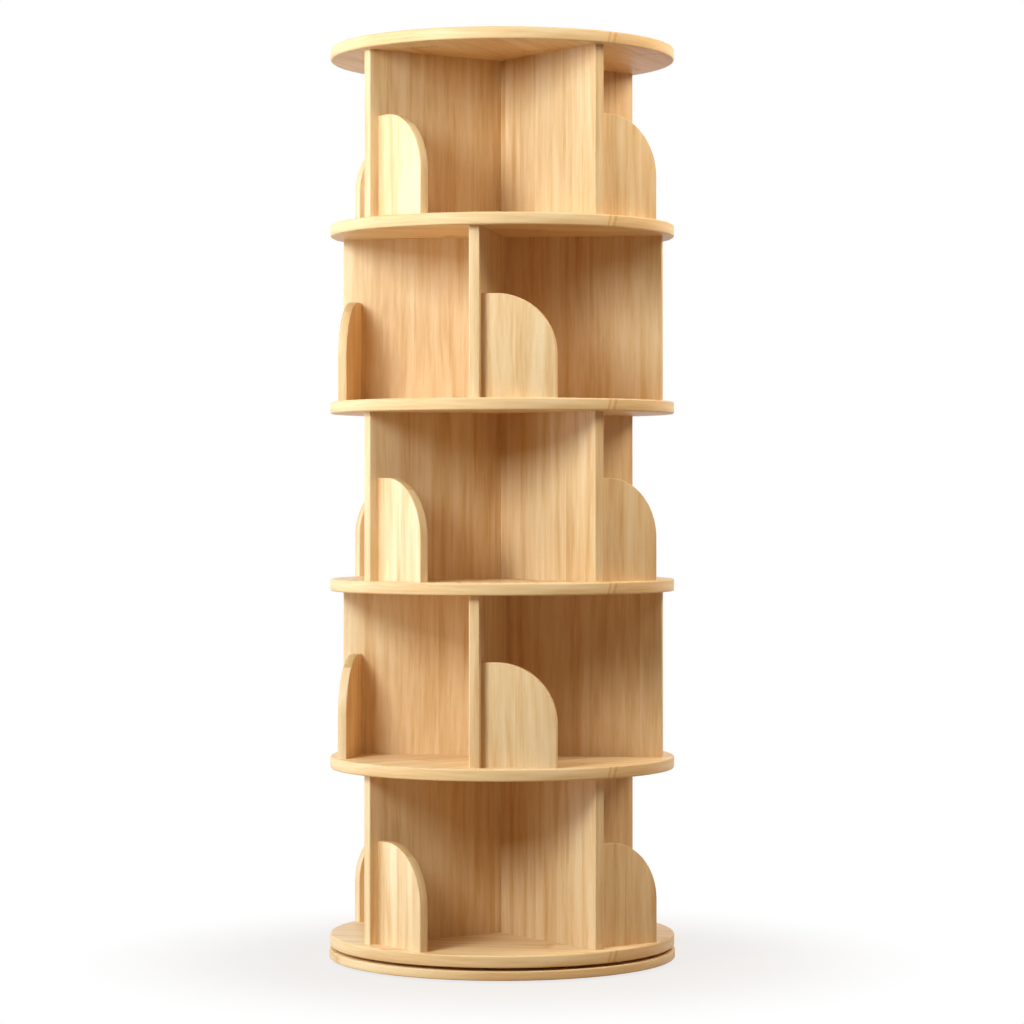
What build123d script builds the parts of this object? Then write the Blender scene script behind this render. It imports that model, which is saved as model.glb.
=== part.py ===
from build123d import *
import math
import os

# A round revolving bookcase in wood, five tiers high. Every tier is a cross of upright
# panels between two round discs, and the cross turns by half a quarter from tier to tier.
# A guard with a quarter-round corner closes part of each compartment's mouth.
# The whole tower turns on a ball bearing that is screwed to a thin, fixed base disc.
#
# Millimetres, +Z up. The origin is on the floor, on the axis of rotation. The front is -Y.

# Driving dimensions: discs and tiers
shelf_radius = 230.0
disc_thickness = 16.0
tier_count = 5
tier_height = 220.0
cross_step = 45.0  # degrees from one tier's cross to the next

# Driving dimensions: the fixed base
base_thickness = 12.0
base_overhang = 1.0
turning_gap = 4.0
pad_side = 30.0
pad_height = 3.0
pad_count = 6
pad_inset = 20.0

# Driving dimensions: upright panels
panel_thickness = 14.0
panel_setback = 14.0  # from the discs' rim to the panel's end
panel_groove = 2.0  # depth in the long panel, on each side
panel_edge = 1.5  # chamfer on the upright outer edges

# Driving dimensions: guards
guard_thickness = 12.0
guard_setback = 13.5  # from the panel's end to the guard's face
guard_height = 134.0
guard_rounding = 78.0  # radius of the quarter round
guard_rim_margin = 2.4  # from the discs' rim to the guard's outer corner
guard_groove = 3.0  # depth in the panel's face

# Driving dimensions: turntable bearing
ball_radius = 2.75
ball_count = 16
ball_circle = 120.0
ball_play = 0.1
ball_sides = 8
ring_width = 20.0
ring_gap = 1.0  # between the two rings
ring_lift = 1.0  # from each ring to the disc that the other one lies on
ring_clearance = 3.0  # round the outer ring in the bottom disc's recess
ring_screw_count = 4
spacer_height = 2.8
spacer_play = 0.3

# Driving dimensions: screws
screw_radius = 2.0
screw_head_radius = 4.0
screw_head_depth = 2.4
screw_bite = 29.0  # length in a panel
screw_cover = 3.0  # left over the tips of the bearing's screws
screw_sides = 6
hole_play = 0.2

# Boards along a radius
panel_reach = shelf_radius - panel_setback
guard_face = panel_reach - guard_setback
guard_back = guard_face - guard_thickness
guard_corner_distance = shelf_radius - guard_rim_margin
guard_width = math.sqrt(guard_corner_distance**2 - guard_face**2) - panel_thickness / 2

# Bearing section. The grooves have 45 degree sides that touch the ball but for the play.
groove_reach = (ball_radius + ball_play) * math.sqrt(2)
groove_half = groove_reach - ring_gap / 2
ring_height = 2 * groove_half + ring_lift
recess_radius = ball_circle + ring_gap / 2 + ring_width + ring_clearance
recess_depth = ring_height + ring_lift - turning_gap

# The slope of a screw head's flat sides, from the upright
screw_head_narrowing = (screw_head_radius - screw_radius) * math.cos(math.pi / screw_sides)
screw_head_taper = math.degrees(math.atan(screw_head_narrowing / screw_head_depth))

# Levels above the floor
base_bottom = pad_height
base_top = base_bottom + base_thickness
ball_level = base_top + ring_lift + groove_half
first_disc = base_top + turning_gap
pitch = disc_thickness + tier_height
disc_level = [first_disc + i * pitch for i in range(tier_count + 1)]
tier_level = [level + disc_thickness for level in disc_level[:-1]]
disc_names = ["bottom_disc"] + [f"shelf_disc_{i}" for i in range(1, tier_count)] + ["top_disc"]

# The first spoke of each tier's cross, as an angle about the axis. The front is at -90.
tier_angle = [-90.0 + cross_step * ((tier_count - i) % 2) for i in range(tier_count)]
quarter_angles = [0.0, 90.0, 180.0, 270.0]

STANDS = (Align.CENTER, Align.CENTER, Align.MIN)
RUNS_OUT = (Align.MIN, Align.CENTER, Align.MIN)


def turned(shape, angle, level=0.0):
    """The shape turned about the bookcase's axis and raised to a level."""
    return Pos(0, 0, level) * Rot(0, 0, angle) * shape


def group(shapes):
    """Separate solids that share one node."""
    return Compound(children=list(shapes))


def screw(length, play=0.0):
    """A countersunk screw that points up from its head's face at the origin.

    It is drawn with flat sides. With play it is the cutter for its own hole.
    """
    shank = extrude(RegularPolygon(screw_radius + play, screw_sides), length)
    face = RegularPolygon(screw_head_radius + play, screw_sides)
    return shank + extrude(face, screw_head_depth, taper=screw_head_taper)


def screw_circle(radius, angles, level, length, downward=False, play=0.0):
    """Screws set on a circle, their heads' faces at a level, pointing up or down."""
    one = screw(length, play)
    if downward:
        one = Rot(180, 0, 0) * one
    return [turned(Pos(radius, 0, 0) * one, angle, level) for angle in angles]


# Fixed base: disc and felt pads
def foot_pads():
    ring = shelf_radius + base_overhang - pad_inset - pad_side / 2
    pad = Pos(ring, 0, 0) * Box(pad_side, pad_side, pad_height, align=STANDS)
    return group(turned(pad, i * 360 / pad_count) for i in range(pad_count))


def base_disc():
    disc = Cylinder(shelf_radius + base_overhang, base_thickness, align=STANDS)
    return Pos(0, 0, base_bottom) * disc


# Turntable bearing: two grooved rings, the balls and the blocks between them
def ring_section(side):
    """Half section of a ring: side is 1 for the outer ring, which lies on the base disc,
    and -1 for the inner ring, which is held higher, under the bottom disc."""
    wall = side * ring_gap / 2
    back = side * (ring_gap / 2 + ring_width)
    seat = -side * (groove_half + ring_lift)
    outline = [
        (wall, seat),
        (wall, -side * groove_half),
        (side * groove_reach, 0),
        (wall, side * groove_half),
        (back, side * groove_half),
        (back, seat),
    ]
    corners = [(ball_circle + x, 0, ball_level + z) for x, z in outline]
    return make_face(Polyline(corners, close=True))


ring_screw_offset = (groove_reach + ring_gap / 2 + ring_width) / 2
outer_screw_circle = ball_circle + ring_screw_offset
inner_screw_circle = ball_circle - ring_screw_offset
ring_screw_angles = [i * 360 / ring_screw_count for i in range(ring_screw_count)]


def base_screws(play=0.0):
    """Machine screws from under the base disc into the outer ring, up to the cover."""
    length = base_thickness + ring_height - screw_cover
    return screw_circle(outer_screw_circle, ring_screw_angles, base_bottom, length, play=play)


def inner_ring_screws(play=0.0):
    """Wood screws through the inner ring into the bottom disc, up to the cover."""
    level = base_top + ring_lift
    length = tier_level[0] - screw_cover - level
    return screw_circle(inner_screw_circle, ring_screw_angles, level, length, play=play)


def turntable_outer_ring():
    return revolve(ring_section(1), Axis.Z) - base_screws()


def turntable_inner_ring():
    return revolve(ring_section(-1), Axis.Z) - inner_ring_screws(hole_play)


def ball():
    """A ball drawn with flats. All its corners lie on the true ball, on the equator and at
    45 degrees above and below it, where the sides of the grooves carry the ball."""
    height = ball_radius / math.sqrt(2)
    side_distance = math.cos(math.pi / ball_sides)
    narrowing = (ball_radius - height) * side_distance
    taper = math.degrees(math.atan(narrowing / height))
    upper = extrude(RegularPolygon(ball_radius, ball_sides), height, taper=taper)
    return upper + mirror(upper, Plane.XY)


def turntable_balls():
    placed = Pos(ball_circle, 0, ball_level) * ball()
    return group(turned(placed, i * 360 / ball_count) for i in range(ball_count))


def ball_spacers():
    """Straight blocks, set half a step round from the balls and centred in the channel.

    Each is as wide as the channel's curve and its sloping sides leave room for.
    """
    half_step = math.radians(180 / ball_count)
    length = 2 * ball_circle * math.sin(half_step) - 2 * (ball_radius + spacer_play)
    sag = ball_circle - math.sqrt(ball_circle**2 - (length / 2) ** 2)
    half_width = groove_reach - spacer_height / 2 - sag / 2 - spacer_play
    block = Box(2 * half_width, length, spacer_height)
    placed = Pos(ball_circle - sag / 2, 0, ball_level) * block
    return group(turned(placed, (i + 0.5) * 360 / ball_count) for i in range(ball_count))


# Discs of the tower. A screw goes into each end of every long panel, from below and from
# above, halfway between the bearing's recess and the panel's end.
panel_screw_length = disc_thickness + screw_bite
panel_screw_circle = (recess_radius + panel_reach) / 2


def panel_screws(i, play=0.0):
    """The screws through disc i: up into the tier above it and down into the one below."""
    screws = []
    if i < tier_count:
        ends = [tier_angle[i], tier_angle[i] + 180]
        screws += screw_circle(
            panel_screw_circle, ends, disc_level[i], panel_screw_length, play=play
        )
    if i > 0:
        ends = [tier_angle[i - 1], tier_angle[i - 1] + 180]
        top = disc_level[i] + disc_thickness
        screws += screw_circle(
            panel_screw_circle, ends, top, panel_screw_length, downward=True, play=play
        )
    return screws


def tower_disc(i):
    disc = Pos(0, 0, disc_level[i]) * Cylinder(shelf_radius, disc_thickness, align=STANDS)
    disc -= panel_screws(i, hole_play)
    if i == 0:
        recess = Cylinder(recess_radius, recess_depth, align=STANDS)
        disc -= Pos(0, 0, disc_level[0]) * recess
        disc -= inner_ring_screws()
    return disc


# Upright panels. A spoke runs out along +X, and its guard stands on its +Y side.
def guard_slot():
    """The groove in a spoke's face that takes the guard's edge."""
    slot = Box(guard_thickness, guard_groove, guard_height, align=RUNS_OUT)
    return Pos(guard_back, panel_thickness / 2 - guard_groove / 2, 0) * slot


def upright_edges(panel, distance):
    """The upright edges that lie at a distance from the axis, on either side."""
    return [e for e in panel.edges().filter_by(Axis.Z) if abs(abs(e.center().X) - distance) < 1e-6]


def long_panel():
    """The panel that runs right across, grooved in the middle for the two short ones."""
    panel = Box(2 * panel_reach, panel_thickness, tier_height, align=STANDS)
    panel = chamfer(upright_edges(panel, panel_reach), panel_edge)
    groove = Box(panel_thickness, panel_groove, tier_height, align=STANDS)
    offset = panel_thickness / 2 - panel_groove / 2
    panel -= [Pos(0, offset, 0) * groove, Pos(0, -offset, 0) * groove]
    panel -= [guard_slot(), Rot(0, 0, 180) * guard_slot()]
    return panel


def short_panel():
    """The panel from the long one's groove, where it is glued, out to one side."""
    start = panel_thickness / 2 - panel_groove
    body = Box(panel_reach - start, panel_thickness, tier_height, align=RUNS_OUT)
    panel = Pos(start, 0, 0) * body
    panel = chamfer(upright_edges(panel, panel_reach), panel_edge)
    return panel - guard_slot()


# Guards
def guard():
    """An upright board, square to its spoke, whose outer top corner is a quarter round."""
    root = panel_thickness / 2 - guard_groove
    tip = panel_thickness / 2 + guard_width
    with BuildSketch(Plane.YZ.offset(guard_back)) as outline:
        with Locations(((root + tip) / 2, guard_height / 2)):
            Rectangle(tip - root, guard_height)
        fillet(outline.vertices().sort_by(Axis.Y)[-2:].sort_by(Axis.Z)[-1], guard_rounding)
    return extrude(outline.sketch, guard_thickness)


parts = {
    "foot_pads": foot_pads(),
    "base_disc": base_disc() - base_screws(hole_play),
    "base_screws": group(base_screws()),
    "turntable_outer_ring": turntable_outer_ring(),
    "turntable_balls": turntable_balls(),
    "ball_spacers": ball_spacers(),
    "turntable_inner_ring": turntable_inner_ring(),
    "inner_ring_screws": group(inner_ring_screws()),
}

for i, name in enumerate(disc_names):
    parts[name] = tower_disc(i)
    parts[name + "_screws"] = group(panel_screws(i))

for tier in range(tier_count):
    angle = tier_angle[tier]
    level = tier_level[tier]
    label = f"tier_{tier + 1}"
    pilot_holes = panel_screws(tier) + panel_screws(tier + 1)
    parts[label + "_long_panel"] = turned(long_panel(), angle, level) - pilot_holes
    for letter, quarter in zip("ab", (90, 270)):
        parts[f"{label}_short_panel_{letter}"] = turned(short_panel(), angle + quarter, level)
    for letter, quarter in zip("abcd", quarter_angles):
        parts[f"{label}_guard_{letter}"] = turned(guard(), angle + quarter, level)

os.makedirs("parts", exist_ok=True)
for name, shape in parts.items():
    export_step(shape, f"parts/{name}.step")
print(len(parts), "nodes, height", disc_level[-1] + disc_thickness, "guard width", round(guard_width, 2))
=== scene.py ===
import math

import bmesh
import bpy
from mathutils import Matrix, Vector


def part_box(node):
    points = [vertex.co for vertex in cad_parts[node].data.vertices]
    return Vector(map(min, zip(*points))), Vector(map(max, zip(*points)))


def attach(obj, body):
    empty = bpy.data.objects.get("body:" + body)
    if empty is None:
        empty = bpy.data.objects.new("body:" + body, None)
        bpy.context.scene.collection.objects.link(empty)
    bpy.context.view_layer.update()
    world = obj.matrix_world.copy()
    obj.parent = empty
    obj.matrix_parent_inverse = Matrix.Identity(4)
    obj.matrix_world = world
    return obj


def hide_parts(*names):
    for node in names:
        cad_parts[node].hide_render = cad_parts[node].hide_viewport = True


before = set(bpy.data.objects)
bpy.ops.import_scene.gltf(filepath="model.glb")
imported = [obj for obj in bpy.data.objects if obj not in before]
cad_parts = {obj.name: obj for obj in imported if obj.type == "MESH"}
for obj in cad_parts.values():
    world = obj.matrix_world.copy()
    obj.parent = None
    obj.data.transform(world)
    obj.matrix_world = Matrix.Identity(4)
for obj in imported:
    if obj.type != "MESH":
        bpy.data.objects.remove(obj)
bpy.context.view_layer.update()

# Foot pads. Six squares of dense pressed felt, cut from sheet and glued under the base disc
# on one circle, keep it off the floor. Their cut edges are a little soft.
pad_side = 0.030
pad_circle = 0.196
pad_count = 6
pad_softness, pad_softness_steps = 0.0008, 2
felt_light, felt_dark = "#6E5F52", "#51453B"
felt_bunch, felt_fibre = 0.004, 0.0006
# Edges blunter than this are shaded smooth.
smooth_below = math.radians(35)
# A Mix node's colour sockets share their names with its other sockets, so they go by number.
mix_a, mix_b, mix_result = 6, 7, 2


def select_only(piece):
    bpy.ops.object.select_all(action="DESELECT")
    piece.select_set(True)
    bpy.context.view_layer.objects.active = piece


def settle(piece):
    """Puts the piece's place, turn and scale into its mesh, so that its origin is the frame's."""
    select_only(piece)
    bpy.ops.object.transform_apply(location=True, rotation=True, scale=True)


def add_primitive(shape, name, **settings):
    """A new primitive, alone in the selection."""
    bpy.ops.object.select_all(action="DESELECT")
    getattr(bpy.ops.mesh, f"primitive_{shape}_add")(**settings)
    piece = bpy.context.object
    piece.name = name
    return piece


def add_block(name, size, middle=(0, 0, 0)):
    """A rectangular block of that size about its middle."""
    block = add_primitive("cube", name, size=1, location=middle)
    block.scale = size
    settle(block)
    return block


def pick(piece, kind, rule):
    """Opens the piece for editing with only those edges or faces selected that meet the rule."""
    select_only(piece)
    bpy.ops.object.mode_set(mode="EDIT")
    bpy.ops.mesh.select_mode(type=kind)
    bpy.ops.mesh.select_all(action="DESELECT")
    opened = bmesh.from_edit_mesh(piece.data)
    for item in opened.edges if kind == "EDGE" else opened.faces:
        if rule(item):
            item.select_set(True)
    opened.select_flush_mode()
    bmesh.update_edit_mesh(piece.data)


def close_edit():
    bpy.ops.object.mode_set(mode="OBJECT")


def round_over(piece, width, steps, rule):
    """Rounds over the edges that meet the rule."""
    pick(piece, "EDGE", rule)
    bpy.ops.mesh.bevel(offset=width, segments=steps, affect="EDGES")
    close_edit()


def copy_of(piece, name):
    """A copy with its own mesh."""
    twin = piece.copy()
    twin.data = piece.data.copy()
    twin.name = twin.data.name = name
    bpy.context.scene.collection.objects.link(twin)
    return twin


def turned_about_axis(piece, angle, level=0):
    piece.rotation_euler.z = angle
    piece.location.z = level
    settle(piece)
    return piece


def at_circle(pattern, radius, angle, level, downward=False):
    """A copy set on a circle about the tower's axis, pointing up or down."""
    twin = copy_of(pattern, "copy")
    twin.rotation_euler.x = math.pi if downward else 0
    settle(twin)
    twin.location = (radius, 0, level)
    settle(twin)
    return turned_about_axis(twin, angle)


def joined(pieces, name):
    """The pieces as one object."""
    bpy.ops.object.select_all(action="DESELECT")
    for piece in pieces:
        piece.select_set(True)
    bpy.context.view_layer.objects.active = pieces[0]
    bpy.ops.object.join()
    pieces[0].name = pieces[0].data.name = name
    return pieces[0]


def give_finish(piece, *materials):
    """Shades the piece smooth up to its sharp edges, and gives it its materials."""
    select_only(piece)
    bpy.ops.object.shade_smooth_by_angle(angle=smooth_below)
    for material in materials:
        piece.data.materials.append(material)


def linear(hex_colour):
    """An sRGB hex value as a linear colour."""
    channels = [int(hex_colour[i:i + 2], 16) / 255 for i in (1, 3, 5)]
    return (*[c / 12.92 if c <= 0.04045 else ((c + 0.055) / 1.055) ** 2.4 for c in channels], 1.0)


def add_node(tree, kind, inputs=None, **settings):
    """A node with its settings. Each input is given a value or linked to an output."""
    node = tree.nodes.new(kind)
    for name, value in settings.items():
        setattr(node, name, value)
    for socket, value in (inputs or {}).items():
        if isinstance(value, bpy.types.NodeSocket):
            tree.links.new(value, node.inputs[socket])
        else:
            node.inputs[socket].default_value = value
    return node


def blank_material(name):
    material = bpy.data.materials.new(name)
    material.use_nodes = True
    material.node_tree.nodes.clear()
    return material, material.node_tree


# Pressed wool felt: dull, with no gloss at all, and mottled where fibres bunch. The fibres
# are drawn at 0.6 mm, so that they show.
pressed_felt, tree = blank_material("pressed wool felt")
place = add_node(tree, "ShaderNodeTexCoord").outputs["Object"]
bunches = add_node(tree, "ShaderNodeTexNoise",
                   {"Vector": place, "Scale": 1 / felt_bunch, "Detail": 3.0})
fibres = add_node(tree, "ShaderNodeTexNoise",
                  {"Vector": place, "Scale": 1 / felt_fibre, "Detail": 2.0})
felt_colour = add_node(tree, "ShaderNodeMix",
                       {0: bunches.outputs["Fac"], mix_a: linear(felt_dark),
                        mix_b: linear(felt_light)}, data_type="RGBA")
felt_bump = add_node(tree, "ShaderNodeBump",
                     {"Height": fibres.outputs["Fac"], "Strength": 0.6, "Distance": 0.0004})
felt_shader = add_node(tree, "ShaderNodeBsdfPrincipled",
                       {"Base Color": felt_colour.outputs[mix_result], "Roughness": 0.95,
                        "Specular IOR Level": 0.2, "Normal": felt_bump.outputs["Normal"]})
add_node(tree, "ShaderNodeOutputMaterial", {"Surface": felt_shader.outputs["BSDF"]})

pad_low, pad_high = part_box("foot_pads")
pad_height = pad_high.z - pad_low.z
pad = add_block("pad", (pad_side, pad_side, pad_height), (0, 0, pad_height / 2))
round_over(pad, pad_softness, pad_softness_steps, lambda edge: True)
pad_angles = [math.tau * i / pad_count for i in range(pad_count)]
felt_pads = joined([at_circle(pad, pad_circle, angle, 0) for angle in pad_angles], "felt_pads")
bpy.data.objects.remove(pad)
give_finish(felt_pads, pressed_felt)
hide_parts("foot_pads")
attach(felt_pads, "base")

# Base disc. A thin round board that stays still on the floor under the turning tower. It is
# sawn from a glued-up sheet of pale rubberwood staves, finger-jointed end to end, then
# rounded over, sanded and given a clear satin lacquer.
rim_steps = 256
base_rounding, rounding_steps = 0.0018, 4
# Points nearer than this are one point, and a face whose normal has more than this share
# along a direction is square to it.
same_place, square_on = 1e-6, 0.8

disc_stave_width, stave_length = 0.042, 0.600
# The joints of each row of staves lie this share of a stave further along than the last row's.
row_offset = 0.382
finger_step, finger_length = 0.0034, 0.009
rim_finger, rim_slant = 0.0094, 0.3
# The glue line is thinner than a hair. It is drawn soft and about 3 mm wide, so that it shows.
joint_line, joint_blur, joint_strength = 0.0002, 0.0032, 0.55
base_joint_angle, base_shift = math.radians(89.5), 0.11

board_tones = "#EDD0A3", "#E2BC88", "#CC995D"
rim_tones = "#EECE9E", "#E3BB84", "#CE995D"
wood_joint = "#C48A47"
pale_stop, middle_stop = 0.10, 0.55
# The layers of the figure: the length and width in the wood, the detail and the roughness.
# The growth streaks are 16 mm wide and break up into finer ones. The fibres are drawn at 2 mm
# and the pores at 0.7 mm, so that they show.
figure_layers = {
    "streaks": (0.22, 0.016, 4.0, 0.60),
    "fibres": (0.055, 0.002, 2.0, 0.60),
    "pores": (0.009, 0.0007, 1.0, 0.50),
}
# Tone 0 is the palest wood and 1 the darkest. The tone starts below 0, and each part of the
# figure adds its share.
tone_start = -0.61
tone_shares = {"streaks": 1.70, "fibres": 0.44, "stave": 0.16}
pore_from, pore_full, pore_strength = 0.62, 0.75, 0.22
# The fibres wander by about 4 mm over a hand's breadth, and each stave is cut from another
# part of the tree.
wander_length, wander_width, wander_reach = 0.16, 0.06, 0.009
stave_spread = 40.0
satin_low, satin_high = 0.40, 0.52


def lacquered_wood(name, stave_width, tones, joint=None):
    """Rubberwood under satin lacquer, in three tones from pale to dark. It reads the map
    "grain", in metres: along the fibres, then across them. The eye gets soft straight streaks,
    a tone of its own on each stave and a low, wide gloss. The staves' joints show as "fingers",
    or on a rim as an "edge"."""
    material, tree = blank_material(name)
    grain_map = add_node(tree, "ShaderNodeUVMap", uv_map="grain").outputs["UV"]
    split = add_node(tree, "ShaderNodeSeparateXYZ", {"Vector": grain_map})
    along, across = split.outputs["X"], split.outputs["Y"]

    # The number of the row of staves, and in a jointed board the number of the stave in it.
    # A rim is all in row 0, so its joints are where its map says.
    row = add_node(tree, "ShaderNodeMath",
                   {0: across, 1: 1 / stave_width, 2: 0.5}, operation="MULTIPLY_ADD").outputs[0]
    row = add_node(tree, "ShaderNodeMath", {0: row}, operation="FLOOR").outputs[0]
    number = row
    if joint:
        flank, slope = across, -rim_slant
        if joint == "fingers":
            flank = add_node(tree, "ShaderNodeMath", {0: across, 1: finger_step},
                             operation="PINGPONG").outputs[0]
            slope = finger_length / finger_step
        start = add_node(tree, "ShaderNodeMath", {0: row, 1: row_offset * stave_length, 2: along},
                         operation="MULTIPLY_ADD").outputs[0]
        start = add_node(tree, "ShaderNodeMath", {0: flank, 1: slope, 2: start},
                         operation="MULTIPLY_ADD").outputs[0]
        number = add_node(tree, "ShaderNodeMath", {0: start, 1: stave_length},
                          operation="DIVIDE").outputs[0]
        number = add_node(tree, "ShaderNodeMath", {0: number}, operation="FLOOR").outputs[0]
    stave = add_node(tree, "ShaderNodeCombineXYZ", {"X": row, "Y": number}).outputs[0]
    stave = add_node(tree, "ShaderNodeTexWhiteNoise", {"Vector": stave},
                     noise_dimensions="2D").outputs["Value"]

    slow = add_node(tree, "ShaderNodeVectorMath",
                    {0: grain_map, 1: (1 / wander_length, 1 / wander_width, 1)},
                    operation="MULTIPLY").outputs[0]
    wander = add_node(tree, "ShaderNodeTexNoise", {"Vector": slow, "Scale": 1.0}).outputs["Fac"]
    wander = add_node(tree, "ShaderNodeMath", {0: wander, 1: wander_reach, 2: across},
                      operation="MULTIPLY_ADD").outputs[0]
    depth = add_node(tree, "ShaderNodeMath", {0: stave, 1: stave_spread},
                     operation="MULTIPLY").outputs[0]
    at = add_node(tree, "ShaderNodeCombineXYZ", {"X": along, "Y": wander, "Z": depth}).outputs[0]

    figure = {"stave": stave}
    for layer, (length, width, detail, roughness) in figure_layers.items():
        scaled = add_node(tree, "ShaderNodeVectorMath",
                          {0: at, 1: (1 / length, 1 / width, 1)}, operation="MULTIPLY").outputs[0]
        figure[layer] = add_node(tree, "ShaderNodeTexNoise",
                                 {"Vector": scaled, "Scale": 1.0, "Detail": detail,
                                  "Roughness": roughness}).outputs["Fac"]
    tone = tone_start
    for part, share in tone_shares.items():
        tone = add_node(tree, "ShaderNodeMath", {0: figure[part], 1: share, 2: tone},
                        operation="MULTIPLY_ADD").outputs[0]
    ramp_node = add_node(tree, "ShaderNodeValToRGB", {"Fac": tone})
    ramp = ramp_node.color_ramp.elements
    ramp[0].position, ramp[1].position = pale_stop, 1.0
    ramp[0].color, ramp[1].color = linear(tones[0]), linear(tones[2])
    ramp.new(middle_stop).color = linear(tones[1])
    pores = add_node(tree, "ShaderNodeMapRange",
                     {"Value": figure["pores"], "From Min": pore_from, "From Max": pore_full,
                      "To Max": pore_strength}).outputs[0]
    colour = add_node(tree, "ShaderNodeMix",
                      {0: pores, mix_a: ramp_node.outputs["Color"], mix_b: linear(wood_joint)},
                      data_type="RGBA").outputs[mix_result]
    if joint:
        # A rim has two glue lines, at the root and the tip of its outermost finger.
        nearest = add_node(tree, "ShaderNodeMath", {0: start, 1: stave_length / 2},
                           operation="PINGPONG").outputs[0]
        blur = joint_blur * slope
        if joint == "edge":
            nearest = add_node(tree, "ShaderNodeMath", {0: nearest, 1: rim_finger / 2},
                               operation="SUBTRACT").outputs[0]
            nearest = add_node(tree, "ShaderNodeMath", {0: nearest},
                               operation="ABSOLUTE").outputs[0]
            blur = joint_blur
        line = add_node(tree, "ShaderNodeMapRange",
                        {"Value": nearest, "From Min": joint_line, "From Max": blur,
                         "To Min": joint_strength, "To Max": 0.0},
                        interpolation_type="SMOOTHSTEP").outputs[0]
        colour = add_node(tree, "ShaderNodeMix",
                          {0: line, mix_a: colour, mix_b: linear(wood_joint)},
                          data_type="RGBA").outputs[mix_result]
    rough = add_node(tree, "ShaderNodeMapRange",
                     {"Value": figure["fibres"], "To Min": satin_low, "To Max": satin_high})
    bump = add_node(tree, "ShaderNodeBump",
                    {"Height": figure["fibres"], "Strength": 0.2, "Distance": 0.0002})
    shader = add_node(tree, "ShaderNodeBsdfPrincipled",
                      {"Base Color": colour, "Roughness": rough.outputs[0], "IOR": 1.5,
                       "Specular IOR Level": 0.3, "Coat Weight": 0.08, "Coat Roughness": 0.3,
                       "Normal": bump.outputs["Normal"]})
    add_node(tree, "ShaderNodeOutputMaterial", {"Surface": shader.outputs["BSDF"]})
    return material


disc_wood = lacquered_wood(
    "finger-jointed rubberwood, satin lacquer", disc_stave_width, board_tones, "fingers")
rim_wood = lacquered_wood("rubberwood rim, satin lacquer", disc_stave_width, rim_tones, "edge")


def round_blank(name, radius, low, high):
    """A round blank about the tower's axis."""
    blank = add_primitive("cylinder", name, vertices=rim_steps, radius=radius,
                          depth=high - low, location=(0, 0, (low + high) / 2))
    settle(blank)
    return blank


def level_edge(edge):
    return abs(edge.verts[0].co.z - edge.verts[1].co.z) < same_place


def cut_out(piece, cutter):
    """Takes the cutter's shape out of the piece, and clears away what slivers the cut leaves."""
    carve = piece.modifiers.new("carve", "BOOLEAN")
    carve.operation = "DIFFERENCE"
    carve.solver = "EXACT"
    carve.object = cutter
    select_only(piece)
    bpy.ops.object.modifier_apply(modifier=carve.name)
    bpy.data.objects.remove(cutter)
    pick(piece, "FACE", lambda face: True)
    bpy.ops.mesh.remove_doubles(threshold=same_place)
    bpy.ops.mesh.dissolve_degenerate(threshold=same_place)
    close_edit()


def lay_round_grain(board, stave_angle, shift, joint_angle):
    """Maps the faces with straight staves, and the rim with one stave that follows it. The
    rim's map ends meet at the back."""
    grain = board.data.uv_layers.new(name="grain")
    along = Vector((math.cos(stave_angle), math.sin(stave_angle), 0))
    across = Vector((-along.y, along.x, 0))
    radius = max(v.co.to_2d().length for v in board.data.vertices)
    middle = sum(v.co.z for v in board.data.vertices) / len(board.data.vertices)
    for face in board.data.polygons:
        flat = abs(face.normal.z) > square_on
        face.material_index = 0 if flat else 1
        face_angle = math.atan2(face.center.x, -face.center.y)
        for corner in face.loop_indices:
            point = board.data.vertices[board.data.loops[corner].vertex_index].co
            if flat:
                place = (point.dot(along) + shift, point.dot(across))
            else:
                angle = math.atan2(point.x, -point.y)
                angle -= math.tau * round((angle - face_angle) / math.tau)
                place = ((angle - joint_angle) * radius, point.z - middle)
            grain.data[corner].uv = place


screw_radius, screw_head_radius, screw_head_depth = 0.0020, 0.0040, 0.0024
screw_head_edge, screw_point = 0.0003, 0.004
screw_play = 0.0002
screw_steps = 24
# A cutter stands out of what it cuts by this or more.
cut_margin = 0.001


def screw_outline(length):
    """Half the outline of a countersunk screw that points up from its head's face."""
    return [(0, 0), (screw_head_radius, 0), (screw_head_radius, screw_head_edge),
            (screw_radius, screw_head_depth), (screw_radius, length - screw_point), (0, length)]


def hole_outline(length):
    """Half the outline of the hole for such a screw."""
    head, shank = screw_head_radius + screw_play, screw_radius + screw_play
    return [(0, -cut_margin), (head, -cut_margin), (head, screw_head_edge),
            (shank, screw_head_depth), (shank, length), (0, length)]


def spun(name, outline, steps, closed=False):
    """A body turned round the Z axis from points in the XZ plane. The outline starts and ends
    on the axis, or is closed and clear of it."""
    body = add_primitive("plane", name, size=1)
    bpy.ops.object.mode_set(mode="EDIT")
    section = bmesh.from_edit_mesh(body.data)
    bmesh.ops.delete(section, geom=section.verts[:], context="VERTS")
    points = [section.verts.new((x, 0, z)) for x, z in outline]
    ends = points[1:] + points[:1] if closed else points[1:]
    for start, end in zip(points, ends):
        section.edges.new((start, end)).select_set(True)
    bmesh.update_edit_mesh(body.data)
    bpy.ops.mesh.spin(steps=steps, angle=math.tau, center=(0, 0, 0), axis=(0, 0, 1))
    bpy.ops.mesh.select_all(action="SELECT")
    bpy.ops.mesh.remove_doubles(threshold=same_place)
    bpy.ops.mesh.normals_make_consistent(inside=False)
    close_edit()
    return body


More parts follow.
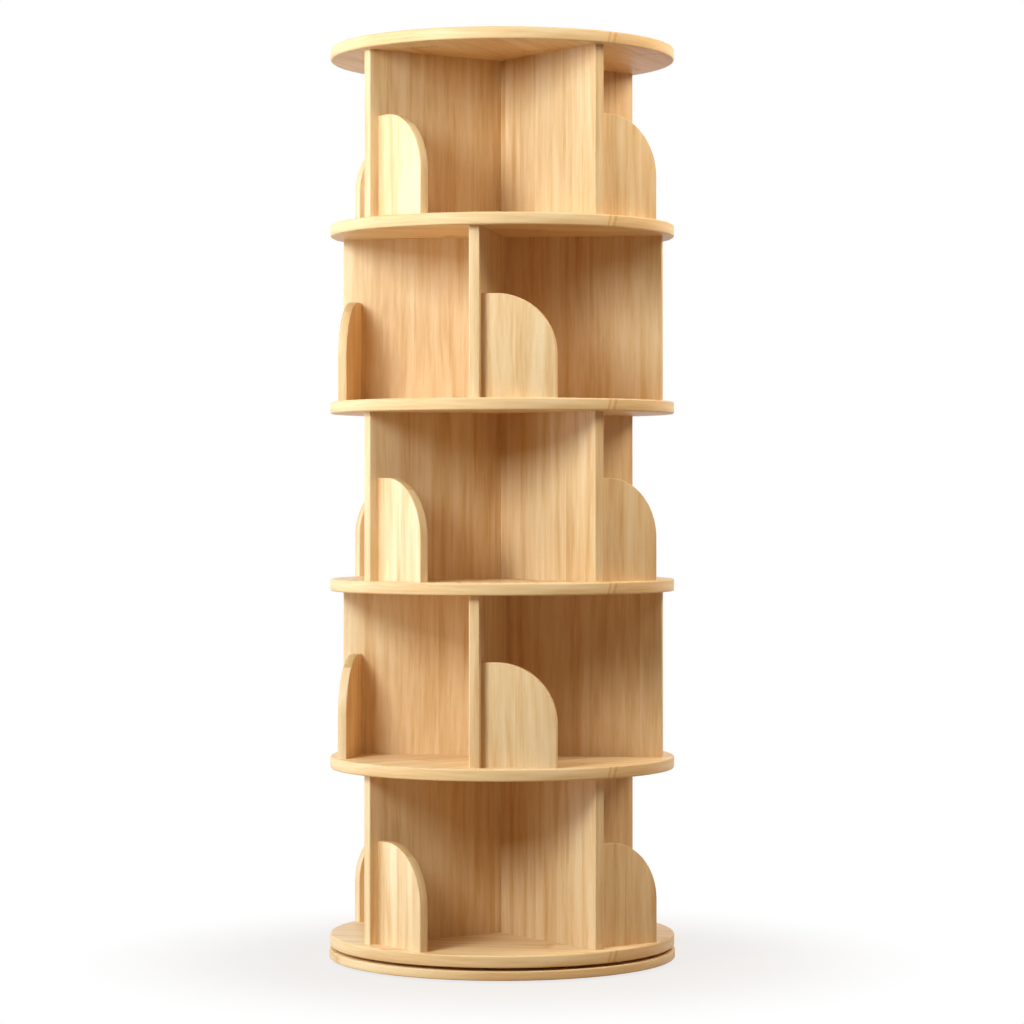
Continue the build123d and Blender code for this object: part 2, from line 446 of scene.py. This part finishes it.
ring_screw_count, outer_screw_circle = 4, 0.1323
ring_screw_angles = [math.tau * i / ring_screw_count for i in range(ring_screw_count)]
base_low, base_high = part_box("base_disc")
screw_low, screw_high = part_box("base_screws")
base_screw_length = screw_high.z - screw_low.z
base_radius = min(-base_low.x, base_high.x)
base_board = round_blank("base_board", base_radius, base_low.z, base_high.z)
round_over(base_board, base_rounding, rounding_steps, level_edge)
hole = spun("hole", hole_outline(base_screw_length), screw_steps)
for angle in ring_screw_angles:
    cut_out(base_board, at_circle(hole, outer_screw_circle, angle, base_low.z))
bpy.data.objects.remove(hole)
lay_round_grain(base_board, 0, base_shift, base_joint_angle)
give_finish(base_board, disc_wood, rim_wood)
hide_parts("base_disc")
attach(base_board, "base")

# Base screws. Four countersunk machine screws go up through the base disc into the
# bearing's outer ring. They are zinc-plated steel, with a cross for the driver.
slot_length, slot_width, slot_depth = 0.0042, 0.0009, 0.0016
# The share of their size along X and along Y that the cross's two slots keep at the bottom.
slot_taper = 0.45, 0.6
zinc_light, zinc_dark = "#C9CBC9", "#A9ABA8"
zinc_cloud = 0.003
zinc_polish, zinc_haze = 0.28, 0.42

# Bright zinc plate: a hard metal gloss that faint clouds make uneven.
zinc_steel, tree = blank_material("bright zinc-plated steel")
place = add_node(tree, "ShaderNodeTexCoord").outputs["Object"]
clouds = add_node(tree, "ShaderNodeTexNoise",
                  {"Vector": place, "Scale": 1 / zinc_cloud, "Detail": 3.0})
zinc_colour = add_node(tree, "ShaderNodeMix",
                       {0: clouds.outputs["Fac"], mix_a: linear(zinc_light),
                        mix_b: linear(zinc_dark)}, data_type="RGBA")
zinc_rough = add_node(tree, "ShaderNodeMapRange",
                      {"Value": clouds.outputs["Fac"], "To Min": zinc_polish,
                       "To Max": zinc_haze})
zinc_shader = add_node(tree, "ShaderNodeBsdfPrincipled",
                       {"Base Color": zinc_colour.outputs[mix_result], "Metallic": 1.0,
                        "Roughness": zinc_rough.outputs[0]})
add_node(tree, "ShaderNodeOutputMaterial", {"Surface": zinc_shader.outputs["BSDF"]})


def crossed_screw(length):
    """A screw with the driver's cross cut into its head."""
    screw = spun("screw", screw_outline(length), screw_steps)
    for turn in (0, math.pi / 2):
        bar = add_primitive("cube", "bar", size=1)
        bar.scale = (slot_length, slot_width, 2 * slot_depth)
        bar.rotation_euler.z = turn
        settle(bar)
        pick(bar, "FACE", lambda face: face.normal.z > square_on)
        bpy.ops.transform.resize(value=(*slot_taper, 1))
        close_edit()
        cut_out(screw, bar)
    return screw


base_screw = crossed_screw(base_screw_length)
base_screws = joined([at_circle(base_screw, outer_screw_circle, angle, base_low.z)
                      for angle in ring_screw_angles], "base_screws_set")
bpy.data.objects.remove(base_screw)
give_finish(base_screws, zinc_steel)
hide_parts("base_screws")
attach(base_screws, "base")

# Outer ring of the bearing. It is turned from aluminium, with a groove of 45 degree sides
# for the balls, and lies on the base disc in the dark gap under the tower.
ball_circle, ball_radius, ball_play = 0.120, 0.00275, 0.0001
ring_gap, ring_width, ring_lift, ring_edge = 0.001, 0.020, 0.001, 0.0004
ring_steps = 160
groove_reach = (ball_radius + ball_play) * math.sqrt(2)
groove_half = groove_reach - ring_gap / 2
ball_level = base_high.z + ring_lift + groove_half
alloy_light, alloy_dark = "#D2D4D6", "#B4B7BA"
tool_mark = 0.0005

# Turned aluminium: fine tool marks run round the axis, and the gloss is drawn out across
# them. They are drawn at 0.5 mm, so that they show.
turned_aluminium, tree = blank_material("turned aluminium")
place = add_node(tree, "ShaderNodeTexCoord").outputs["Object"]
split = add_node(tree, "ShaderNodeSeparateXYZ", {"Vector": place})
flat_place = add_node(tree, "ShaderNodeCombineXYZ",
                      {"X": split.outputs["X"], "Y": split.outputs["Y"]})
from_axis = add_node(tree, "ShaderNodeVectorMath", {0: flat_place.outputs[0]}, operation="LENGTH")
marks = add_node(tree, "ShaderNodeMath", {0: from_axis.outputs["Value"], 1: split.outputs["Z"]},
                 operation="ADD")
marks = add_node(tree, "ShaderNodeMath", {0: marks.outputs[0], 1: 1 / tool_mark},
                 operation="MULTIPLY")
marks = add_node(tree, "ShaderNodeTexNoise", {"W": marks.outputs[0], "Scale": 1.0, "Detail": 2.0},
                 noise_dimensions="1D")
alloy_colour = add_node(tree, "ShaderNodeMix",
                        {0: marks.outputs["Fac"], mix_a: linear(alloy_light),
                         mix_b: linear(alloy_dark)}, data_type="RGBA")
alloy_bump = add_node(tree, "ShaderNodeBump",
                      {"Height": marks.outputs["Fac"], "Strength": 0.3, "Distance": 0.0001})
alloy_shader = add_node(tree, "ShaderNodeBsdfPrincipled",
                        {"Base Color": alloy_colour.outputs[mix_result], "Metallic": 1.0,
                         "Roughness": 0.32, "Normal": alloy_bump.outputs["Normal"]})
add_node(tree, "ShaderNodeOutputMaterial", {"Surface": alloy_shader.outputs["BSDF"]})


def grooved_ring(name, side):
    """The ring outside the balls (side 1) or inside them (side -1)."""
    wall, back = side * ring_gap / 2, side * (ring_gap / 2 + ring_width)
    seat = -side * (groove_half + ring_lift)
    top = side * groove_half
    outline = [
        (wall, seat), (wall, -top), (side * groove_reach, 0), (wall, top),
        (back - side * ring_edge, top), (back, top - side * ring_edge),
        (back, seat + side * ring_edge), (back - side * ring_edge, seat),
    ]
    outline = [(ball_circle + x, ball_level + z) for x, z in outline]
    return spun(name, outline, ring_steps, closed=True)


outer_ring = grooved_ring("bearing_outer_ring", 1)
give_finish(outer_ring, turned_aluminium)
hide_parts("turntable_outer_ring")
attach(outer_ring, "base")

# Balls. Sixteen polished balls of bearing steel run in the grooves of the two rings and
# carry the whole tower.
ball_count = 16
ball_steps = 24
steel_light = "#D8DADC"
steel_speck, steel_polish, steel_haze = 0.001, 0.06, 0.16

# Polished bearing steel: nearly a mirror, with the faint haze of its running track.
bearing_steel, tree = blank_material("polished bearing steel")
place = add_node(tree, "ShaderNodeTexCoord").outputs["Object"]
haze = add_node(tree, "ShaderNodeTexNoise", {"Vector": place, "Scale": 1 / steel_speck})
haze = add_node(tree, "ShaderNodeMapRange",
                {"Value": haze.outputs["Fac"], "To Min": steel_polish, "To Max": steel_haze})
steel_shader = add_node(tree, "ShaderNodeBsdfPrincipled",
                        {"Base Color": linear(steel_light), "Metallic": 1.0,
                         "Roughness": haze.outputs[0]})
add_node(tree, "ShaderNodeOutputMaterial", {"Surface": steel_shader.outputs["BSDF"]})

half_turns = [math.tau * i / ball_steps - math.pi / 2 for i in range(ball_steps // 2 + 1)]
half_circle = [(ball_radius * math.cos(a), ball_radius * math.sin(a)) for a in half_turns]
ball = spun("ball", half_circle, ball_steps)
ball_angles = [math.tau * i / ball_count for i in range(ball_count)]
balls = joined([at_circle(ball, ball_circle, angle, ball_level) for angle in ball_angles],
               "bearing_balls")
bpy.data.objects.remove(ball)
give_finish(balls, bearing_steel)
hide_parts("turntable_balls")
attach(balls, "ball_set")

# Spacers. Short straight blocks of natural nylon keep the balls apart. They are moulded,
# so their edges are soft.
spacer_width, spacer_height, spacer_play = 0.0029, 0.0028, 0.0003
spacer_softness, spacer_softness_steps = 0.0003, 2
nylon_light, nylon_dark = "#E9E6DA", "#D9D5C6"
nylon_cloud, nylon_sheen, nylon_dull = 0.004, 0.38, 0.50

# Moulded nylon: milky, with light just under its skin, and slightly cloudy.
nylon, tree = blank_material("moulded natural nylon")
place = add_node(tree, "ShaderNodeTexCoord").outputs["Object"]
cloudy = add_node(tree, "ShaderNodeTexNoise", {"Vector": place, "Scale": 1 / nylon_cloud})
nylon_colour = add_node(tree, "ShaderNodeMix",
                        {0: cloudy.outputs["Fac"], mix_a: linear(nylon_light),
                         mix_b: linear(nylon_dark)}, data_type="RGBA")
nylon_rough = add_node(tree, "ShaderNodeMapRange",
                       {"Value": cloudy.outputs["Fac"], "To Min": nylon_sheen,
                        "To Max": nylon_dull})
nylon_shader = add_node(tree, "ShaderNodeBsdfPrincipled",
                        {"Base Color": nylon_colour.outputs[mix_result],
                         "Roughness": nylon_rough.outputs[0], "IOR": 1.53,
                         "Subsurface Weight": 0.1})
add_node(tree, "ShaderNodeOutputMaterial", {"Surface": nylon_shader.outputs["BSDF"]})

half_step = math.pi / ball_count
spacer_length = 2 * ball_circle * math.sin(half_step) - 2 * (ball_radius + spacer_play)
spacer_sag = ball_circle - math.sqrt(ball_circle**2 - (spacer_length / 2) ** 2)
spacer = add_block("spacer", (spacer_width, spacer_length, spacer_height))
round_over(spacer, spacer_softness, spacer_softness_steps, lambda edge: True)
spacers = joined([at_circle(spacer, ball_circle - spacer_sag / 2, angle + half_step, ball_level)
                  for angle in ball_angles], "bearing_spacers")
bpy.data.objects.remove(spacer)
give_finish(spacers, nylon)
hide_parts("ball_spacers")
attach(spacers, "ball_set")

# Inner ring of the bearing, turned like the outer one, and its four countersunk wood
# screws. It lies under the bottom disc, in the disc's recess.
inner_screw_circle = 0.1077
inner_low, inner_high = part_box("inner_ring_screws")
inner_screw_length = inner_high.z - inner_low.z
inner_ring = grooved_ring("bearing_inner_ring", -1)
hole = spun("hole", hole_outline(inner_screw_length), screw_steps)
for angle in ring_screw_angles:
    cut_out(inner_ring, at_circle(hole, inner_screw_circle, angle, inner_low.z))
bpy.data.objects.remove(hole)
give_finish(inner_ring, turned_aluminium)
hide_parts("turntable_inner_ring")
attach(inner_ring, "tower")

inner_screw = crossed_screw(inner_screw_length)
inner_screws = joined([at_circle(inner_screw, inner_screw_circle, angle, inner_low.z)
                       for angle in ring_screw_angles], "inner_ring_screws_set")
bpy.data.objects.remove(inner_screw)
give_finish(inner_screws, zinc_steel)
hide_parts("inner_ring_screws")
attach(inner_screws, "tower")

# Discs of the tower. Six round boards of the same jointed rubberwood: the bottom disc, which
# has the bearing's recess, four shelves and the top. The panels above and below are screwed
# to them, so they have countersunk holes.
tier_count = 5
cross_step = math.radians(45)
disc_rounding = 0.0024
recess_radius = 0.1435
panel_screw_circle = 0.17975
# Each disc's staves are turned and shifted against the last one's. The rims' joints stand
# above each other.
disc_turn, disc_shift, rim_joint_angle = 0.9, 0.13, math.radians(47.6)
disc_names = ["bottom_disc"] + [f"shelf_disc_{i}" for i in range(1, tier_count)] + ["top_disc"]
tier_angles = [-math.pi / 2 + cross_step * ((tier_count - i) % 2) for i in range(tier_count)]


def panel_screw_places(i):
    """Where disc i has screws: the angle, and whether the screw points down."""
    places = []
    if i < tier_count:
        places += [(tier_angles[i] + turn, False) for turn in (0, math.pi)]
    if i > 0:
        places += [(tier_angles[i - 1] + turn, True) for turn in (0, math.pi)]
    return places


disc_low, disc_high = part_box("top_disc")
disc_radius = min(-disc_low.x, disc_high.x)
for i, node in enumerate(disc_names):
    low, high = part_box(node)
    board = round_blank(node + "_board", disc_radius, low.z, high.z)
    round_over(board, disc_rounding, rounding_steps, level_edge)
    through = spun("hole", hole_outline(high.z - low.z + 2 * cut_margin), screw_steps)
    for angle, down in panel_screw_places(i):
        level = high.z if down else low.z
        cut_out(board, at_circle(through, panel_screw_circle, angle, level, down))
    bpy.data.objects.remove(through)
    if i == 0:
        recess_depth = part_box("turntable_inner_ring")[1].z - low.z
        cut_out(board, round_blank(
            "recess", recess_radius, low.z - recess_depth, low.z + recess_depth))
    lay_round_grain(board, disc_turn * i, disc_shift * i, rim_joint_angle)
    give_finish(board, disc_wood, rim_wood)
    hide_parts(node)
    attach(board, "tower")

# Upright panels. Each tier's cross is one long panel right across and two short ones, which
# are glued into its grooves. They are rubberwood boards with upright grain, and their outer
# edges are rounded over.
panel_thickness, panel_reach, panel_groove = 0.014, 0.216, 0.002
panel_rounding = 0.0015
panel_stave_width = 0.034
# Where in the timber a panel is cut: how far along and how many staves across from the same
# panel one tier down, and from the panel before it in its own tier.
tier_shift, tier_staves = 0.37, 11
panel_shift, panel_staves = 0.91, 5
tier_low = [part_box(f"tier_{t + 1}_long_panel")[0].z for t in range(tier_count)]
panel_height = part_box("tier_1_long_panel")[1].z - tier_low[0]
straight_wood = lacquered_wood(
    "straight rubberwood, satin lacquer", panel_stave_width, board_tones)

# Rubberwood end grain: it drinks more lacquer, so it is darker and redder, with the pores as
# fine dots. They are drawn at 1.5 mm, so that they show.
end_light, end_dark = "#DDB980", "#C2935A"
end_dot, end_patch = 0.0015, 0.02
end_grain, tree = blank_material("rubberwood end grain, satin lacquer")
place = add_node(tree, "ShaderNodeTexCoord").outputs["Object"]
dots = add_node(tree, "ShaderNodeTexNoise",
                {"Vector": place, "Scale": 1 / end_dot, "Detail": 3.0})
patches = add_node(tree, "ShaderNodeTexNoise",
                   {"Vector": place, "Scale": 1 / end_patch, "Detail": 2.0})
end_tone = add_node(tree, "ShaderNodeMath", {0: dots.outputs["Fac"], 1: patches.outputs["Fac"]},
                    operation="ADD")
end_tone = add_node(tree, "ShaderNodeMapRange",
                    {"Value": end_tone.outputs[0], "From Min": 0.7, "From Max": 1.3})
end_colour = add_node(tree, "ShaderNodeMix",
                      {0: end_tone.outputs[0], mix_a: linear(end_light),
                       mix_b: linear(end_dark)}, data_type="RGBA")
end_shader = add_node(tree, "ShaderNodeBsdfPrincipled",
                      {"Base Color": end_colour.outputs[mix_result], "Roughness": 0.5,
                       "IOR": 1.5})
add_node(tree, "ShaderNodeOutputMaterial", {"Surface": end_shader.outputs["BSDF"]})


def lay_upright_grain(board, shift, staves):
    """Maps a board in metres along its upright fibres and across them. Faces that cut the
    fibres square get the second material, end grain."""
    grain = board.data.uv_layers.new(name="grain")
    for face in board.data.polygons:
        cut_square = abs(face.normal.z) > square_on
        face.material_index = 1 if cut_square else 0
        across = Vector((1, 0, 0))
        if not cut_square:
            across = face.normal.cross((0, 0, 1)).normalized()
        for corner in face.loop_indices:
            point = board.data.vertices[board.data.loops[corner].vertex_index].co
            grain.data[corner].uv = (point.z + shift,
                                     point.dot(across) + staves * panel_stave_width)


def panel_blank(name, start, end):
    """A panel that runs out along X between two distances from the axis. Its upright edges
    are rounded over where it ends at the panels' full reach."""
    middle = ((start + end) / 2, 0, panel_height / 2)
    board = add_block(name, (end - start, panel_thickness, panel_height), middle)
    round_over(board, panel_rounding, rounding_steps, lambda edge: not level_edge(edge) and all(
        abs(v.co.x) > panel_reach - same_place for v in edge.verts))
    return board


guard_thickness, guard_groove = 0.012, 0.003
guard_low, guard_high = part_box("tier_2_guard_a")
guard_height = guard_high.z - guard_low.z
guard_face = -guard_low.y


def guard_slot(turn=0):
    """The cutter for a guard's groove, on the side of a spoke that the guard stands on."""
    slot = add_block("slot", (guard_thickness, 2 * guard_groove, 2 * guard_height),
                     (guard_face - guard_thickness / 2, panel_thickness / 2, 0))
    return turned_about_axis(slot, turn)


long_board = panel_blank("long_panel", -panel_reach, panel_reach)
for side, turn in ((1, 0), (-1, math.pi)):
    cut_out(long_board, add_block("slot", (panel_thickness, 2 * panel_groove, 3 * panel_height),
                                  (0, side * panel_thickness / 2, 0)))
    cut_out(long_board, guard_slot(turn))
short_board = panel_blank("short_panel", panel_thickness / 2 - panel_groove, panel_reach)
cut_out(short_board, guard_slot())
panel_kinds = (("long_panel", long_board, 0), ("short_panel_a", short_board, math.pi / 2),
               ("short_panel_b", short_board, 3 * math.pi / 2))

for t in range(tier_count):
    for number, (kind, pattern, turn) in enumerate(panel_kinds):
        node = f"tier_{t + 1}_{kind}"
        board = copy_of(pattern, node + "_board")
        lay_upright_grain(board, tier_shift * t + panel_shift * number,
                          tier_staves * t + panel_staves * number)
        turned_about_axis(board, tier_angles[t] + turn, tier_low[t])
        give_finish(board, straight_wood, end_grain)
        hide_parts(node)
        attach(board, "tower")
bpy.data.objects.remove(long_board)
bpy.data.objects.remove(short_board)

# Guards. A low board stands square to each spoke, let into its groove, and keeps what is on
# the shelf from sliding out. It is cut from the same rubberwood. Its outer top corner is a
# large quarter round, and every edge that a hand meets is softened.
guard_quarter, guard_quarter_steps = 0.078, 32
guard_softness, guard_softness_steps = 0.0012, 3
guard_root = panel_thickness / 2 - guard_groove
guard_tip = guard_high.x
guard_tier_shift, guard_tier_staves = 0.53, 7
guard_shift, guard_staves, first_staves = 0.29, 3, 2


def outer_top_corner(edge):
    return all(v.co.y > guard_tip - same_place and v.co.z > guard_height - same_place
               for v in edge.verts)


def open_edge(edge):
    """An edge of a broad face, but neither at the foot nor at the root in the groove."""
    first, second = (v.co for v in edge.verts)
    on_face = abs(first.x - second.x) < same_place
    at_foot = max(first.z, second.z) < same_place
    at_root = max(first.y, second.y) < guard_root + same_place
    return on_face and not at_foot and not at_root


guard_pattern = add_block("guard", (guard_thickness, guard_tip - guard_root, guard_height),
                          (0, (guard_root + guard_tip) / 2, guard_height / 2))
round_over(guard_pattern, guard_quarter, guard_quarter_steps, outer_top_corner)
round_over(guard_pattern, guard_softness, guard_softness_steps, open_edge)

for t in range(tier_count):
    for number, letter in enumerate("abcd"):
        node = f"tier_{t + 1}_guard_{letter}"
        board = copy_of(guard_pattern, node + "_board")
        lay_upright_grain(board, guard_tier_shift * t + guard_shift * number,
                          guard_tier_staves * t + guard_staves * number + first_staves)
        board.location.x = guard_face - guard_thickness / 2
        settle(board)
        turned_about_axis(board, tier_angles[t] + number * math.pi / 2, tier_low[t])
        give_finish(board, straight_wood, end_grain)
        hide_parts(node)
        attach(board, "tower")
bpy.data.objects.remove(guard_pattern)

# Panel screws. Countersunk wood screws of zinc-plated steel, two up and two down through each
# shelf, hold the long panels. Their heads lie flush with the boards' faces.
for i, node in enumerate(disc_names):
    low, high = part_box(node)
    screw_low, screw_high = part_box(node + "_screws")
    pattern = crossed_screw(max(screw_high.z - low.z, high.z - screw_low.z))
    screws = joined(
        [at_circle(pattern, panel_screw_circle, angle, high.z if down else low.z, down)
         for angle, down in panel_screw_places(i)], node + "_screws_set")
    bpy.data.objects.remove(pattern)
    give_finish(screws, zinc_steel)
    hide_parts(node + "_screws")
    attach(screws, "tower")

# The floor. It is large and plain, and keeps the tower's soft shadow. Its paint is warm, so
# that the light it throws up warms the lowest boards, but the camera sees it four fifths
# white near the tower and all white past the shadow. It lies just under the pads' faces.
floor_size, floor_gap = 30.0, 0.0002
floor_colour = "#A98F70"
shadow_full, shadow_gone = 0.25, 0.60
white_in_shadow = 0.80
floor = add_primitive("plane", "floor", size=floor_size, location=(0, 0, -floor_gap))
settle(floor)


def seen_rays(tree):
    """1 for what the camera sees, straight, mirrored or through glass, and 0 for other light."""
    path = add_node(tree, "ShaderNodeLightPath").outputs
    seen = path["Is Camera Ray"]
    for other in ("Is Glossy Ray", "Is Transmission Ray"):
        seen = add_node(tree, "ShaderNodeMath", {0: seen, 1: path[other]},
                        operation="MAXIMUM").outputs[0]
    return seen


floor_paint, tree = blank_material("pale floor")
place = add_node(tree, "ShaderNodeTexCoord").outputs["Object"]
distance = add_node(tree, "ShaderNodeVectorMath", {0: place}, operation="LENGTH")
fade = add_node(tree, "ShaderNodeMapRange",
                {"Value": distance.outputs["Value"], "From Min": shadow_full,
                 "From Max": shadow_gone, "To Min": white_in_shadow, "To Max": 1.0},
                interpolation_type="SMOOTHSTEP")
white_share = add_node(tree, "ShaderNodeMath", {0: fade.outputs[0], 1: seen_rays(tree)},
                       operation="MULTIPLY")
painted = add_node(tree, "ShaderNodeBsdfDiffuse", {"Color": linear(floor_colour)})
white = add_node(tree, "ShaderNodeEmission", {"Color": (1, 1, 1, 1), "Strength": 1.0})
mixed = add_node(tree, "ShaderNodeMixShader",
                 {0: white_share.outputs[0], 1: painted.outputs[0], 2: white.outputs[0]})
add_node(tree, "ShaderNodeOutputMaterial", {"Surface": mixed.outputs[0]})
floor.data.materials.append(floor_paint)

# The light. The background is white but gives little light. Two windows at the left and two
# weaker lamps in front give cool daylight, two reflectors at the right are warmer, and one lamp
# lights the back. Only the windows are mirrored in the lacquer, so the rest leave no patches.
world_light = 0.05
lamp_aim = 0.65
window_sky, daylight, reflected = (0.74, 0.87, 1.0), (0.80, 0.91, 1.0), (1.0, 0.94, 0.83)
white_light = (1.0, 1.0, 1.0)

world = bpy.data.worlds.new("studio white")
world.use_nodes = True
bpy.context.scene.world = world
tree = world.node_tree
tree.nodes.clear()
strength = add_node(tree, "ShaderNodeMapRange",
                    {"Value": seen_rays(tree), "To Min": world_light, "To Max": 1.0})
background = add_node(tree, "ShaderNodeBackground",
                      {"Color": (1, 1, 1, 1), "Strength": strength.outputs[0]})
add_node(tree, "ShaderNodeOutputWorld", {"Surface": background.outputs[0]})


def soft_lamp(name, azimuth, height, distance, size, watts, colour, mirrored=False):
    """A square of light that faces the tower. Azimuth 0 is the front, and 90 the right. It
    shows in the lacquer's gloss only where it is mirrored."""
    data = bpy.data.lights.new(name, "AREA")
    data.shape = "SQUARE"
    data.size = size
    data.energy = watts
    data.color = colour
    lamp = bpy.data.objects.new(name, data)
    bpy.context.scene.collection.objects.link(lamp)
    angle = math.radians(azimuth)
    lamp.location = (distance * math.sin(angle), -distance * math.cos(angle), height)
    towards = Vector((0, 0, lamp_aim)) - lamp.location
    lamp.rotation_euler = towards.to_track_quat("-Z", "Y").to_euler()
    lamp.visible_glossy = mirrored


soft_lamp("window_left", -80, 0.8, 2.4, 1.7, 51, window_sky, mirrored=True)
soft_lamp("window_front", -30, 1.6, 2.2, 0.8, 44, daylight, mirrored=True)
soft_lamp("window_high", -22, 2.4, 1.4, 0.8, 12, daylight)
soft_lamp("window_low", -22, 1.7, 1.8, 0.8, 9, daylight)
soft_lamp("reflector_edge", 100, 1.9, 1.5, 1.0, 30, reflected)
soft_lamp("reflector_right", 60, 1.9, 1.5, 0.8, 6, reflected)
soft_lamp("back_light", 180, 1.3, 3.0, 2.0, 22, white_light)

# The camera, where the photograph was taken from. The photograph is 1024 pixels square, and
# the lens shift puts the tower's axis and the line of sight at their pixels in it.
view_azimuth, view_pitch = math.radians(9.54), math.radians(0.5)
view_distance, eye_height = 4.3508, 0.6234
pixels, focal_pixels = 1024, 3248.0
axis_x, axis_y = 502.2, 463.1
camera_data = bpy.data.cameras.new("camera")
camera_data.lens = focal_pixels / pixels * camera_data.sensor_width
camera_data.shift_x = (pixels / 2 - axis_x) / pixels
camera_data.shift_y = (axis_y - pixels / 2) / pixels
camera = bpy.data.objects.new("camera", camera_data)
bpy.context.scene.collection.objects.link(camera)
camera.location = (view_distance * math.sin(view_azimuth),
                   -view_distance * math.cos(view_azimuth), eye_height)
camera.rotation_euler = (math.pi / 2 + view_pitch, 0, view_azimuth)
bpy.context.scene.camera = camera
bpy.context.scene.view_settings.view_transform = "Standard"
